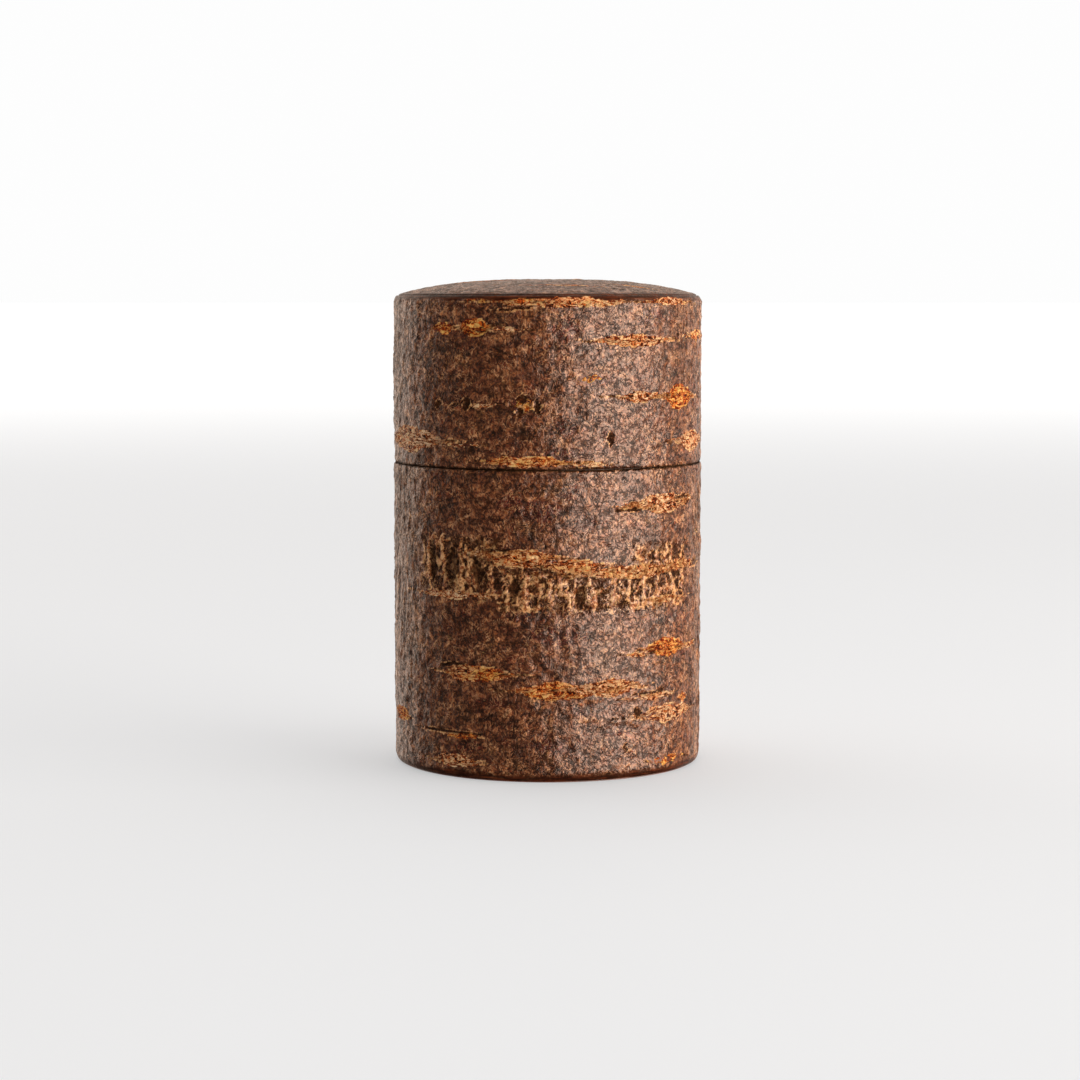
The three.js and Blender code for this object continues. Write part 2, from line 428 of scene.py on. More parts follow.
    def add_stains(self, stains):
        broken = self.ridges(1.7, 2.6, 35)
        for stain in stains:
            depth = self.lens(stain.along, stain.up, stain.half_width, stain.half_height)
            self.mark("stain", soft_step(0, 0.7, depth))
            self.relief += soft_step(0, 0.7, depth) * (0.24 * broken - 0.16)

    def shave(self, distance, reach):
        """Smooths the sheet within reach of an edge, given each place's distance from it."""
        ragged = distance + 0.35 * noise(*self.plain, 6, 2.5, self.seed + 40)
        ragged += 0.2 * noise(*self.plain, 1.6, 1.2, self.seed + 41)
        near = soft_step(-reach, -0.55 * reach, -ragged)
        self.mark("shaved", near)
        self.relief *= 1 - 0.93 * near
        self.pit *= 1 - near
        self.net *= 1 - near
        self.fold *= 1 - near

    def break_edge(self, distance):
        """Crumbles the sheet's sawn edge and paints shade on it, given each place's distance from it."""
        near = soft_step(-0.45, 0, -distance)
        self.relief -= 0.2 * near
        # Painted shade in the seam along the sawn edge.
        self.mark("pit", near)

    def part_at_joint(self, joint_distance):
        """Rounds the two ends of the sheet down into the joint between them."""
        self.relief -= 0.22 * soft_step(-0.7, 0, -joint_distance)
        self.mark("pit", 0.8 * soft_step(-0.5, 0, -joint_distance))


def scattered(seed, count, left, right, low, high, size=1.0):
    """Seeded lenticels between two ends and two heights of a sheet, all in mm."""
    rng = np.random.default_rng(seed)
    spots = []
    for number in range(count):
        up = low + (high - low) * ((number + rng.uniform(0.1, 0.9)) / count)
        half_width = size * (2.2 + 12 * rng.uniform(0, 1) ** 1.7)
        along = rng.uniform(left + half_width, right - half_width)
        half_height = size * rng.uniform(0.6, 1.2) + 0.1 * half_width
        show, orange = rng.uniform(0.5, 1), rng.uniform(0.1, 0.9)
        spots.append(Lenticel(along, up, half_width, half_height, show, orange))
    return spots


# ---------- Turned meshes


class Turned:
    """A closed outline of (radius, height) points, turned about the Z axis.

    The outline runs out along its underside and back along its top, so that every face looks out. A
    wrapped sheet has a joint at one angle, with a cap on each side of it; a whole piece has none.
    """

    def __init__(self, outline, columns, joint=None):
        radius, height = np.array(outline, float).T
        self.joint = joint
        if joint is None:
            turn = np.linspace(-180, 180, columns, endpoint=False)
        else:
            half_gap = math.degrees(JOINT_GAP / 2 / radius.max())
            turn = np.linspace(joint - 360 + half_gap, joint - half_gap, columns + 1)
        self.turn = np.repeat(turn[:, None], len(radius), axis=1)
        self.radius = np.repeat(radius[None, :], len(turn), axis=0)
        self.height = np.repeat(height[None, :], len(turn), axis=0)
        self.outer = radius.max()

    def arc(self):
        """Distance of each place along the wrapped sheet from the front, in mm."""
        return np.radians(self.turn) * self.outer

    def flat(self):
        """x and y of each place, in mm."""
        turn = np.radians(self.turn)
        return self.radius * np.sin(turn), -self.radius * np.cos(turn)

    def build(self, name, creases):
        """The mesh object. creases are the numbers of the outline's points that keep a sharp edge."""
        columns, points = self.radius.shape
        number = np.arange(columns * points).reshape(columns, points)
        on_axis = self.radius[0] < TINY
        number[:, on_axis] = number[0, on_axis]
        if self.joint is None:
            number = np.vstack((number, number[:1]))
        self.used, packed = np.unique(number, return_inverse=True)
        number = packed.reshape(number.shape)
        left, right = number[:-1], number[1:]
        quads = np.stack((left, right, np.roll(right, -1, axis=1), np.roll(left, -1, axis=1)), axis=-1)
        faces = [tuple(dict.fromkeys(quad)) for quad in quads.reshape(-1, 4).tolist()]
        faces = [face for face in faces if len(face) > 2]
        if self.joint is not None:
            faces += [tuple(number[0].tolist()), tuple(number[-1][::-1].tolist())]
        corners = np.stack((*self.flat(), self.height), axis=-1).reshape(-1, 3)[self.used] * MM
        self.mesh = bpy.data.meshes.new(name)
        self.mesh.from_pydata(corners.tolist(), [], faces, shade_flat=False)
        self.crease(creases, columns, points)
        piece = bpy.data.objects.new(name, self.mesh)
        bpy.context.scene.collection.objects.link(piece)
        return piece

    def crease(self, creases, columns, points):
        """Marks sharp edges along the given outline points, and round the two ends of a sheet."""
        ends = np.empty(len(self.mesh.edges) * 2, np.int32)
        self.mesh.edges.foreach_get("vertices", ends)
        first, second = ends.reshape(-1, 2).T
        column, point = np.divmod(self.used, points)
        sharp = (point[first] == point[second]) & np.isin(point[first], list(creases))
        if self.joint is not None:
            at_end = np.isin(column, (0, columns - 1))
            sharp |= at_end[first] & (column[first] == column[second])
        self.mesh.edges.foreach_set("use_edge_sharp", sharp)

    def paint(self, name, values):
        """Stores a number or an (x, y, z) for each place as an attribute of the mesh."""
        values = np.asarray(values, float)
        if values.ndim == 2:
            kind, field, values = "FLOAT", "value", values.reshape(-1)[self.used]
        else:
            kind, field, values = "FLOAT_VECTOR", "vector", values.reshape(-1, 3)[self.used]
        attribute = self.mesh.attributes.new(name, kind, "POINT")
        attribute.data.foreach_set(field, values.reshape(-1).astype(np.float32))


def rounded(corner, across, up, start, steps=6):
    """Points on a quarter of an ellipse about (radius, height), from start degrees round."""
    angles = np.radians(np.linspace(start, start + 90, steps + 1))
    return [(corner[0] + across * math.cos(a), corner[1] + up * math.sin(a)) for a in angles]


def rows(low, high):
    """Evenly spaced heights between two heights, without the ends."""
    count = max(2, round((high - low) / ROW_STEP))
    return np.linspace(low, high, count + 1)[1:-1]


# ---------- Node materials


def colour(red, green, blue):
    """A colour given as it looks on screen, 0 to 255, as the linear values that a shader takes."""
    channels = [value / 255 for value in (red, green, blue)]
    linear = [c / 12.92 if c <= 0.04045 else ((c + 0.055) / 1.055) ** 2.4 for c in channels]
    return (*linear, 1.0)


class Nodes:
    """A node tree made step by step. Most methods add nodes and return an output of them."""

    def __init__(self, tree):
        self.tree = tree

    def feed(self, socket, value):
        """Links an output to a socket, or sets the socket to a plain value."""
        if isinstance(value, bpy.types.NodeSocket):
            self.tree.links.new(value, socket)
        else:
            socket.default_value = value

    def node(self, kind, inputs=None, **settings):
        """A new node, with its settings made and its inputs fed by name or by number."""
        node = self.tree.nodes.new("ShaderNode" + kind)
        for name, setting in settings.items():
            setattr(node, name, setting)
        for key, value in (inputs or {}).items():
            self.feed(node.inputs[key], value)
        return node

    def math(self, operation, first, second=0.0):
        return self.node("Math", {0: first, 1: second}, operation=operation).outputs[0]

    def times(self, first, second):
        return self.math("MULTIPLY", first, second)

    def larger(self, first, second):
        return self.math("MAXIMUM", first, second)

    def total(self, *parts):
        """The sum of (value, share) pairs."""
        running = 0.0
        for value, share in parts:
            running = self.math("ADD", running, self.times(value, share))
        return running

    def spread(self, value, low, high, to_low=0.0, to_high=1.0):
        """A value stretched smoothly from one range to another, and held at the new range's ends."""
        ends = dict(enumerate((value, low, high, to_low, to_high)))
        return self.node("MapRange", ends, interpolation_type="SMOOTHSTEP").outputs[0]

    def mix(self, factor, first, second):
        """A colour between two colours."""
        return self.node("Mix", {0: factor, 6: first, 7: second}, data_type="RGBA").outputs[2]


class Finish(Nodes):
    """A node material. Its patterns lie at places on the piece, and their sizes are in mm."""

    def __init__(self, name):
        self.material = bpy.data.materials.new(name)
        self.material.use_nodes = True
        super().__init__(self.material.node_tree)

    def attribute(self, name):
        node = self.node("Attribute", attribute_name=name)
        return node.outputs["Vector" if name in ("sheet", "flow") else "Fac"]

    def stretch(self, place, size):
        """Places measured in steps of this size along each axis."""
        steps = [1 / length for length in size]
        return self.node("VectorMath", {0: place, 1: steps}, operation="MULTIPLY").outputs[0]

    def noise(self, place, size, octaves=2, roughness=0.5, warp=0.0):
        """Noise around 0.5, in blobs of this size along each axis."""
        inputs = {
            "Vector": self.stretch(place, size),
            "Scale": 1.0,
            "Detail": octaves,
            "Roughness": roughness,
            "Distortion": warp,
        }
        return self.node("TexNoise", inputs).outputs["Fac"]

    def wander(self, place, size, reach):
        """Places shifted by noise in blobs of this size, by up to this reach."""
        blobs = self.node("TexNoise", {"Vector": self.stretch(place, (size, size, size)), "Scale": 1.0})
        shift = {0: blobs.outputs["Color"], 1: (reach, reach, reach), 2: place}
        return self.node("VectorMath", shift, operation="MULTIPLY_ADD").outputs[0]

    def flakes(self, place, size):
        """Cells of this size: the distance in from their edges, and a random shade for each."""
        outputs = []
        for feature, output in (("DISTANCE_TO_EDGE", "Distance"), ("F1", "Color")):
            cells = {"Vector": self.stretch(place, size), "Scale": 1.0}
            outputs.append(self.node("TexVoronoi", cells, feature=feature).outputs[output])
        return outputs

    def ridge(self, place, size, sharpness, warp):
        """1 along thin wandering lines and 0 in the cells between them."""
        away = self.math("SUBTRACT", self.noise(place, size, 1, 0.5, warp), 0.5)
        return self.spread(self.math("ABSOLUTE", away), 1 / sharpness, 0.0)

    def ramp(self, factor, *stops):
        """A colour from stops of (place, red, green, blue)."""
        node = self.node("ValToRGB", {0: factor})
        elements = node.color_ramp.elements
        while len(elements) < len(stops):
            elements.new(0.5)
        for element, (position, *shade) in zip(elements, stops):
            element.position = position
            element.color = colour(*shade)
        return node.outputs["Color"]

    def bump(self, height, depth, strength=1.0):
        """Fine relief of a height from 0 to 1 that stands for this depth."""
        relief = {"Distance": depth * MM, "Strength": strength, "Height": height}
        return self.node("Bump", relief).outputs[0]

    def set(self, **values):
        """Feeds the shader's inputs, named with underscores for spaces."""
        shader = self.tree.nodes["Principled BSDF"]
        for name, value in values.items():
            self.feed(shader.inputs[name.replace("_", " ")], value)
        return self.material


def rough_bark(name, grey_sheen_and_less_wax):
    """Unpolished cherry bark under a thin coat of wax.

    The last argument, from 0 to 1, greys it with a painted reflection of the white surroundings
    and takes off its wax, as on the domed top.
    """
    bark = Finish(name)
    total, times, larger = bark.total, bark.times, bark.larger
    spread, mix = bark.spread, bark.mix
    sheet = bark.attribute("sheet")
    flow = bark.attribute("flow")
    cork = bark.attribute("cork")
    shaved = bark.attribute("shaved")

    # The patterns of the bark's surface.
    mottle = spread(bark.noise(sheet, (6, 5, 6), 3, 0.6, 0.4), 0.3, 0.7)
    clot = spread(bark.noise(sheet, (2.2, 2.6, 2.2), 2, 0.6, 0.8), 0.32, 0.68)
    crumb = spread(bark.noise(sheet, (0.8, 0.9, 0.8), 1, 0.6, 0.6), 0.3, 0.7)
    broken = spread(bark.noise(sheet, (2.2, 2.0, 2.2), 1, 0.6), 0.42, 0.56)
    # Fine specks, for relief and grit, and for the painted glints below.
    fine_specks_and_glints = bark.noise(sheet, (0.45, 0.5, 0.45), 1, 0.6)
    thread = bark.ridge(sheet, (1.3, 2.0, 1.3), sharpness=15, warp=1.2)
    thread = times(thread, broken)
    inset, scale = bark.flakes(bark.wander(sheet, 1.5, 3.2), (1.25, 1.3, 1.25))
    swell = spread(inset, 0.0, 0.3)
    gap = times(spread(inset, 0.13, 0.03), bark.math("SUBTRACT", 1.0, broken))
    crack = bark.ridge(sheet, (3.0, 3.6, 3.0), sharpness=20, warp=1.4)
    crack = larger(crack, gap)
    fold = bark.attribute("fold")
    crest = bark.ridge(sheet, (1.5, 11, 1.5), sharpness=9, warp=0.5)
    # The wrinkles' crests and gullies: relief, and in the colour a painted highlight on each crest and
    # painted shade in each gully.
    crease = times(fold, crest)
    gully_and_painted_shade = times(fold, bark.math("SUBTRACT", 1.0, crest))
    grain = total((crumb, 0.26), (scale, 0.2), (swell, 0.16), (clot, 0.12))
    grain = total((grain, 1.0), (thread, 0.36), (crack, -0.34), (crease, 0.3), (gully_and_painted_shade, -0.22))

    # Brown ground with rusty, olive, pale and dark parts, a painted highlight on the wrinkles' crests,
    # painted glints on fine specks, and painted shade in the wrinkles' gullies and round the bare cork.
    patch = spread(bark.noise(sheet, (11, 7, 11), 3, 0.6, 0.8), 0.38, 0.62)
    tone = total((crumb, 0.34), (scale, 0.24), (clot, 0.2), (mottle, 0.2), (patch, 0.12))
    tone = total((tone, 1.0), (-0.07, 1.0))
    browns = ((0.1, 26, 8, 2), (0.3, 68, 26, 8), (0.5, 110, 55, 24), (0.68, 152, 86, 45))
    ground = bark.ramp(tone, *browns, (0.92, 206, 140, 86))
    rust = spread(bark.noise(sheet, (6, 3, 6), 4, 0.7, 0.6), 0.5, 0.7, 0.0, 0.7)
    stain = total((bark.attribute("stain"), 1.0), (mottle, 0.9), (clot, 0.7), (-1.0, 1.0))
    stain = times(spread(stain, 0.0, 0.7), bark.attribute("stain"))
    rust = larger(rust, stain)
    tone = total((tone, 1.0), (stain, -0.14))
    rusty = bark.ramp(tone, (0.12, 36, 7, 2), (0.5, 104, 33, 12), (0.9, 184, 88, 44))
    ground = mix(rust, ground, rusty)
    olive = spread(bark.noise(sheet, (9, 9, 9), 3, 0.6), 0.5, 0.7, 0.0, 0.5)
    mossy = bark.ramp(tone, (0.12, 18, 9, 3), (0.5, 78, 48, 21), (0.9, 170, 120, 68))
    ground = mix(olive, ground, mossy)
    # Pale threads, with a painted highlight on the wrinkles' crests.
    pale = larger(times(thread, 0.95), times(crease, 0.7))
    # Painted glints: pale flecks on the finest specks.
    pale = larger(pale, spread(fine_specks_and_glints, 0.6, 0.72, 0.0, 0.5))
    ground = mix(pale, ground, mix(mottle, colour(150, 82, 42), colour(234, 170, 116)))
    # Dark cracks, and painted shade in the wrinkles' gullies.
    dark = larger(times(crack, 0.72), times(gully_and_painted_shade, 0.5))
    ground = mix(dark, ground, colour(16, 5, 2))
    # Painted reflection: the top's colour greyed the way the white surroundings reflect across it.
    ground = mix(grey_sheen_and_less_wax, ground, mix(grain, colour(50, 28, 17), colour(138, 100, 76)))
    # Painted shade round the raised bare cork.
    painted_shade_round_cork = spread(cork, 0.03, 0.26, 0.0, 0.85)
    ground = mix(painted_shade_round_cork, ground, mix(tone, colour(30, 7, 2), colour(120, 46, 16)))

    # Bare cork, in flakes along each lenticel's own flow.
    depth, chip = bark.flakes(bark.wander(flow, 1.3, 3.4), (2.3, 0.9, 1.8))
    speck = spread(bark.noise(flow, (1.5, 0.5, 1.2), 2, 0.6, 0.8), 0.39, 0.62)
    slot = spread(depth, 0.14, 0.0)
    flake = total((chip, 0.62), (speck, 0.56), (slot, -0.42), (0.01, 1.0))
    tans = ((0.02, 34, 10, 3), (0.24, 132, 50, 16), (0.44, 226, 136, 72), (0.68, 255, 217, 176))
    oranges = ((0.02, 38, 8, 1), (0.26, 150, 46, 6), (0.5, 228, 104, 24), (0.8, 255, 196, 108))
    hue = total((bark.attribute("orange"), 1.1), (mottle, 0.3), (chip, 0.3), (-0.2, 1.0))
    cover = spread(total((cork, 1.6), (chip, 0.6), (speck, 0.3)), 0.82, 0.96)
    hue = spread(hue, 0.0, 1.0)
    bare = mix(hue, bark.ramp(flake, *tans), bark.ramp(flake, *oranges))
    skin = mix(cover, ground, bare)

    # The net's pale ridges, and the dark pits, which also hold the painted shade along sawn edges.
    lace = bark.ridge(sheet, (2.2, 2.8, 2.2), sharpness=13, warp=1.4)
    lace = times(lace, bark.attribute("lace"))
    grit = total((scale, 0.45), (crumb, 0.35), (fine_specks_and_glints, 0.5), (-0.12, 1.0))
    lines = total((bark.attribute("net"), 1.4), (lace, 0.5), (grit, 0.5))
    lines = spread(lines, 0.68, 0.94)
    straw = bark.ramp(grit, (0.16, 62, 25, 9), (0.42, 168, 92, 44), (0.72, 246, 186, 124))
    skin = mix(lines, skin, straw)
    pit = total((bark.attribute("pit"), 1.0), (thread, -0.5))
    pit = spread(pit, 0.0, 0.8, 0.0, 0.85)
    skin = mix(pit, skin, mix(crumb, colour(15, 6, 2), colour(66, 38, 20)))

    # The shaved and cut edges, streaked by the knife.
    streak = bark.noise(sheet, (6, 0.5, 2), 3, 0.6)
    knife = bark.ramp(streak, (0.3, 16, 4, 2), (0.5, 48, 16, 6), (0.72, 106, 47, 20))
    skin = mix(times(shaved, spread(cork, 0.4, 0.8, 0.95, 0.2)), skin, knife)
    skin = mix(bark.attribute("cut"), skin, knife)

    # Relief of the bark, and the shallower relief of the wax over it.
    height = total((grain, 1.0), (fine_specks_and_glints, 0.25), (times(cover, flake), 0.8))
    height = total((height, 1.0), (lines, 0.35), (pit, -0.3))
    strength = spread(shaved, 0.0, 1.0, 1.0, 0.15)
    skim = total((fine_specks_and_glints, 0.6), (crumb, 0.24), (swell, 0.16), (thread, 0.25), (crack, -0.5))
    skim = total((skim, 1.0), (crease, 0.5), (bark.attribute("pit"), -0.4))
    waxed = spread(grain, 0.1, 0.46, 0.2, 0.72)
    waxed = total((waxed, 1.0 - grey_sheen_and_less_wax), (shaved, -0.6), (pit, -0.9), (cover, -0.7))
    return bark.set(
        Base_Color=skin,
        Roughness=total((grain, -0.14), (shaved, -0.06), (cover, 0.06), (0.5, 1.0)),
        Normal=bark.bump(height, 0.55, strength),
        IOR=1.5,
        Specular_IOR_Level=0.17,
        Specular_Tint=colour(255, 206, 170),
        Coat_Weight=waxed,
        Coat_Roughness=0.27,
        Coat_IOR=1.75,
        Coat_Normal=bark.bump(skim, 0.06, strength),
    )


def smooth_bark(name):
    """Cherry bark scraped and polished until it is silky, with fine level lenticels."""
    bark = Finish(name)
    sheet = bark.attribute("sheet")
    band = bark.noise(sheet, (34, 3.2, 6), octaves=3)
    silk = bark.noise(sheet, (9, 0.16, 3), 3, 0.6)
    dash = bark.noise(sheet, (4.6, 0.42, 2.4), 2, 0.5, 0.3)
    tone = bark.total((band, 0.65), (silk, 0.35))
    ground = bark.ramp(tone, (0.3, 62, 20, 11), (0.5, 112, 46, 25), (0.7, 156, 80, 46))
    lens = bark.spread(dash, 0.62, 0.69)
    skin = bark.mix(bark.times(lens, 0.7), ground, colour(52, 17, 10))
    core = bark.spread(dash, 0.72, 0.78)
    skin = bark.mix(bark.times(core, 0.7), skin, colour(182, 112, 66))
    height = bark.total((silk, 0.4), (lens, 0.3))
    return bark.set(
        Base_Color=skin,
        Roughness=bark.spread(tone, 0.3, 0.7, 0.38, 0.24),
        Normal=bark.bump(height, 0.05),
        IOR=1.52,
        Coat_Weight=0.4,
        Coat_Roughness=0.16,
    )


def veneer(name):
    """Thin sliced wood with a straight grain that runs up the sheet."""
    wood = Finish(name)
    sheet = wood.attribute("sheet")
    grain = wood.noise(sheet, (0.7, 22, 0.5), 3, 0.6)
    pores = wood.noise(sheet, (0.16, 2.4, 0.2), 2, 0.6)
    tone = wood.total((grain, 0.7), (pores, 0.3))
    return wood.set(
        Base_Color=wood.ramp(tone, (0.3, 150, 112, 72), (0.5, 197, 161, 115), (0.68, 219, 190, 147)),
        Roughness=wood.spread(pores, 0.3, 0.7, 0.78, 0.62),
        Normal=wood.bump(tone, 0.05),
        IOR=1.45,
    )


def solid_wood(name, stops, roughness, coat):
    """Wood cut from a plank: bowed growth rings along X, with short pores."""
    wood = Finish(name)
    sheet = wood.attribute("sheet")
    rings = wood.noise(sheet, (46, 2.6, 3.4), 3, 0.5, 0.9)
    grain = wood.noise(sheet, (12, 0.4, 0.5), 3, 0.6)
    pores = wood.noise(sheet, (1.6, 0.13, 0.16), 2, 0.5)
    tone = wood.total((rings, 0.6), (grain, 0.4))
    skin = wood.ramp(tone, *stops)
    darkest = colour(*stops[0][1:])
    skin = wood.mix(wood.spread(pores, 0.58, 0.7, 0.0, 0.55), skin, darkest)
    return wood.set(
        Base_Color=skin,
        Roughness=wood.spread(tone, 0.3, 0.7, roughness + 0.08, roughness - 0.06),
        Normal=wood.bump(pores, 0.03),
        IOR=1.48,
        Coat_Weight=coat,
        Coat_Roughness=0.25,
    )


def make_finishes():
    """The material of each finish, and a name for a slot, which is not used."""
    board_stops = ((0.3, 128, 90, 56), (0.5, 178, 138, 94), (0.7, 206, 172, 128))
    cherry_stops = ((0.3, 92, 44, 24), (0.5, 150, 86, 52), (0.7, 184, 120, 78))
    return {
        "rough": (rough_bark("rough_bark", 0.0), "rough_bark"),
        # The domed top gets a painted grey reflection of the white surroundings, and less wax.
        "dome": (rough_bark("dome_bark", 0.55), "rough_bark"),
        "smooth": (smooth_bark("smooth_bark"), "smooth_bark"),
        "veneer": (veneer("magnolia_veneer"), "veneer"),
        "board": (solid_wood("board_wood", board_stops, 0.6, 0.0), "board"),
        "cherry": (solid_wood("cherry_wood", cherry_stops, 0.36, 0.25), "cherry_wood"),
    }


# ---------- Pieces

finishes = make_finishes()
body_of_node = {
    node: body for body, nodes in frame["record"]["behaviour"]["bodies"].items() for node in nodes
}


def place(piece, node, finish):
    """Dresses a piece, stands it in for its CAD node and lets it ride on that node's body."""
    material, slot = finishes[finish]
    piece.data.materials.append(material)
    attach(piece, body_of_node[node])
    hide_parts(node)
    return piece


def in_millimetres(places, turned):
    """Lenticels, pits, ridges or belts of a sleeve with their angles made into lengths of arc."""
    arc = math.radians(1) * turned.outer
    angles = ("along", "half_width", "left", "right")
    made = []
    for entry in places:
        changed = {field: getattr(entry, field) * arc for field in angles if field in entry._fields}
        made.append(entry._replace(**changed))
    return made


def sleeve_outline(node, foot_round=None, rim_round=None):
    """Outline of a sleeve, and how many of its points are on its outer face, from the foot up."""
    inner, outer = radii(node)
    low, high = heights(node)
    face = []
    straight_low, straight_high = low, high
    if foot_round:
        across, up = foot_round
        straight_low = low + up
        face += rounded((outer - across, straight_low), across, up, -90)
    else:
        face.append((outer, low))
    if rim_round:
        across, up = rim_round
        straight_high = high - up
    face += [(outer, height) for height in rows(straight_low, straight_high)]
    if rim_round:
        face += rounded((outer - across, straight_high), across, up, 0)
    else:
        face.append((outer, high))
    lips = [(face[-1][0] - BEVEL, high), (inner, high), (inner, low), (face[0][0] - BEVEL, low)]
    return face + lips, len(face)


def paint_bark(turned, bark, sheet, flow, moving, cut):
    """Stores the bark's places and masks on its mesh. cut marks the outline's sawn or inner points."""
    turned.paint("sheet", np.stack(sheet, axis=-1))
    turned.paint("flow", np.stack(flow, axis=-1))
    for name in MASKS:
        turned.paint(name, getattr(bark, name) * moving)
    turned.paint("cut", np.repeat(cut[None, :], len(turned.turn), axis=0))


def rough_sleeve(node, seed, marks, foot_round=None, rim_round=None):
    """A wrapped sheet of rough bark with its ends butted together at the back."""
    outline, face = sleeve_outline(node, foot_round, rim_round)
    sleeve = Turned(outline, SLEEVE_COLUMNS, BACK)
    low, high = heights(node)
    arc = sleeve.arc()
    half_turn = math.pi * sleeve.outer
    bark = Bark(arc, sleeve.height, seed)
    marks = {kind: in_millimetres(places, sleeve) for kind, places in marks.items()}
    bark.add_wrinkles(marks["wrinkles"])
    bark.add_stains(marks["stains"])
    bark.add_net(marks["belts"], marks["ridges"])
    side = half_turn * BACK_FROM
    span = (low + BACK_MARGIN, high - BACK_MARGIN)
    count = round((high - low) / BACK_SPACING)
    bark.add_lenticels(scattered(seed + 50, count, -half_turn, -side, *span))
    bark.add_lenticels(scattered(seed + 51, count, side, half_turn, *span))
    bark.add_lenticels(marks["lenticels"])
    bark.add_pits(marks["pits"])
    if foot_round:
        bark.shave(sleeve.height - low, foot_round[1])
        bark.break_edge(high - sleeve.height)
    else:
        bark.shave(high - sleeve.height, RIM_SHAVED * rim_round[1])
        bark.break_edge(sleeve.height - low)
    bark.part_at_joint(half_turn - np.abs(arc))

    moving = np.zeros(len(outline))
    moving[:face] = 1
    moving[[face, -1]] = 1
    cut = 1 - moving
    cut[[face, -1]] = 1
    sleeve.radius += bark.relief * moving
    depth = sleeve.outer - sleeve.radius
    piece = sleeve.build(node + "_sheet", (0, face - 1, face + 1, face + 2))
    paint_bark(sleeve, bark, (arc, sleeve.height, depth), (arc, bark.flow, depth), moving, cut)
    return place(piece, node, "rough")


def dome_height(radius):
    """Height of the top's outer face at a radius."""
    rim = heights("lid_rough_bark")[1]
    apex = heights("lid_top_bark")[1]
    return rim + (apex - rim) * (1 - (radius / radii("lid_rough_bark")[1]) ** DOME_POWER)


def dome_line(start, end, below, step):
    """Points across the dome between two radii, this far below its outer face."""
    count = max(2, round(abs(end - start) / step))
    return [(radius, dome_height(radius) - below) for radius in np.linspace(start, end, count + 1)]


def dome_sheet(node):
    """The disc of rough bark pressed over the domed top."""
    edge = radii(node)[1]
    under = dome_line(0, edge, TOP_BARK, BOARD_RING_STEP)
    over = dome_line(edge, 0, 0, DOME_RING_STEP)
    disc = Turned(under + over, DOME_COLUMNS)
    x, y = disc.flat()
    bark = Bark(x, y, DOME_SEED)
    bark.add_lenticels(DOME_LENTICELS)
    bark.shave(edge - disc.radius, DOME_SHAVED)
    bark.break_edge(edge - disc.radius)
    moving = np.zeros(len(under) + len(over))
    moving[len(under) :] = 1
    disc.height += bark.relief * moving * DOME_RELIEF
    piece = disc.build(node + "_disc", (0, len(under) - 1, len(under)))
    paint_bark(disc, bark, (x, y, disc.height), (x, bark.flow, disc.height), moving, 1 - moving)
    return place(piece, node, "dome")


def wrapped_sheet(node, finish, round_top=False):
    """A plain wrapped sheet: a ply of veneer or a lining of smooth bark."""
    inner, outer = radii(node)
    low, high = heights(node)
    half = (outer - inner) / 2
    if round_top:
        middle = (outer - half, high - half)
        top = rounded(middle, half, half, 0, 4) + rounded(middle, half, half, 90, 4)[1:]
    else:
        top = [(outer, high), (inner, high)]
    outline = [(inner, low), (outer, low)] + top
    ring = Turned(outline, PLAIN_COLUMNS, PLY_JOINTS[node])
    creases = (0, 1) if round_top else (0, 1, 2, 3)
    piece = ring.build(node + "_sheet", creases)
    ring.paint("sheet", np.stack((ring.arc(), ring.height, ring.radius), axis=-1))
    return place(piece, node, finish)


def turned_piece(node, finish, outline, creases=()):
    """A disc, board or knob, cut from flat stock, so its pattern runs straight through it."""
    whole = Turned(outline, PLAIN_COLUMNS)
    piece = whole.build(node + "_turned", creases)
    whole.paint("sheet", np.stack((*whole.flat(), whole.height), axis=-1))
    return place(piece, node, finish)


def flat_disc(node, finish):
    """A disc with its two edges just broken."""
    inner, outer = radii(node)
    low, high = heights(node)
    edge = [(outer - BEVEL, low), (outer, low + BEVEL), (outer, high - BEVEL), (outer - BEVEL, high)]
    if inner < TINY:
        inner = 0
    outline = [(inner, low)] + edge + [(inner, high)]
    return turned_piece(node, finish, outline, range(len(outline)))


def top_board():
    node = "lid_top_board"
    edge = radii(node)[1]
    low = heights(node)[0]
    over = dome_line(edge, 0, TOP_BARK + GLUE, BOARD_RING_STEP)
    return turned_piece(node, "board", [(0, low), (edge, low)] + over, (0, 1, 2))


def inner_lid_board():
    """The inner lid's disc: a flange on a chamfered plug, with a blind hole for the knob's tenon."""
    node = "inner_lid_board"
    low, high = heights(node)
    flange = radii(node)[1]
    plug = radii("inner_lid_under_bark")[1] + PLUG_CHAMFER
    flange_low = heights("inner_lid_edge_bark")[0]
    hole = radii("inner_lid_face_bark")[0]
    hole_low = heights("inner_lid_knob")[0] - GLUE
    outline = [
        (0, low),
        (plug - PLUG_CHAMFER, low),
        (plug, low + PLUG_CHAMFER),
        (plug, flange_low),
        (flange, flange_low),
        (flange, high),
        (hole, high),
        (hole, hole_low),
        (0, hole_low),
    ]
    return turned_piece(node, "cherry", outline, range(len(outline)))


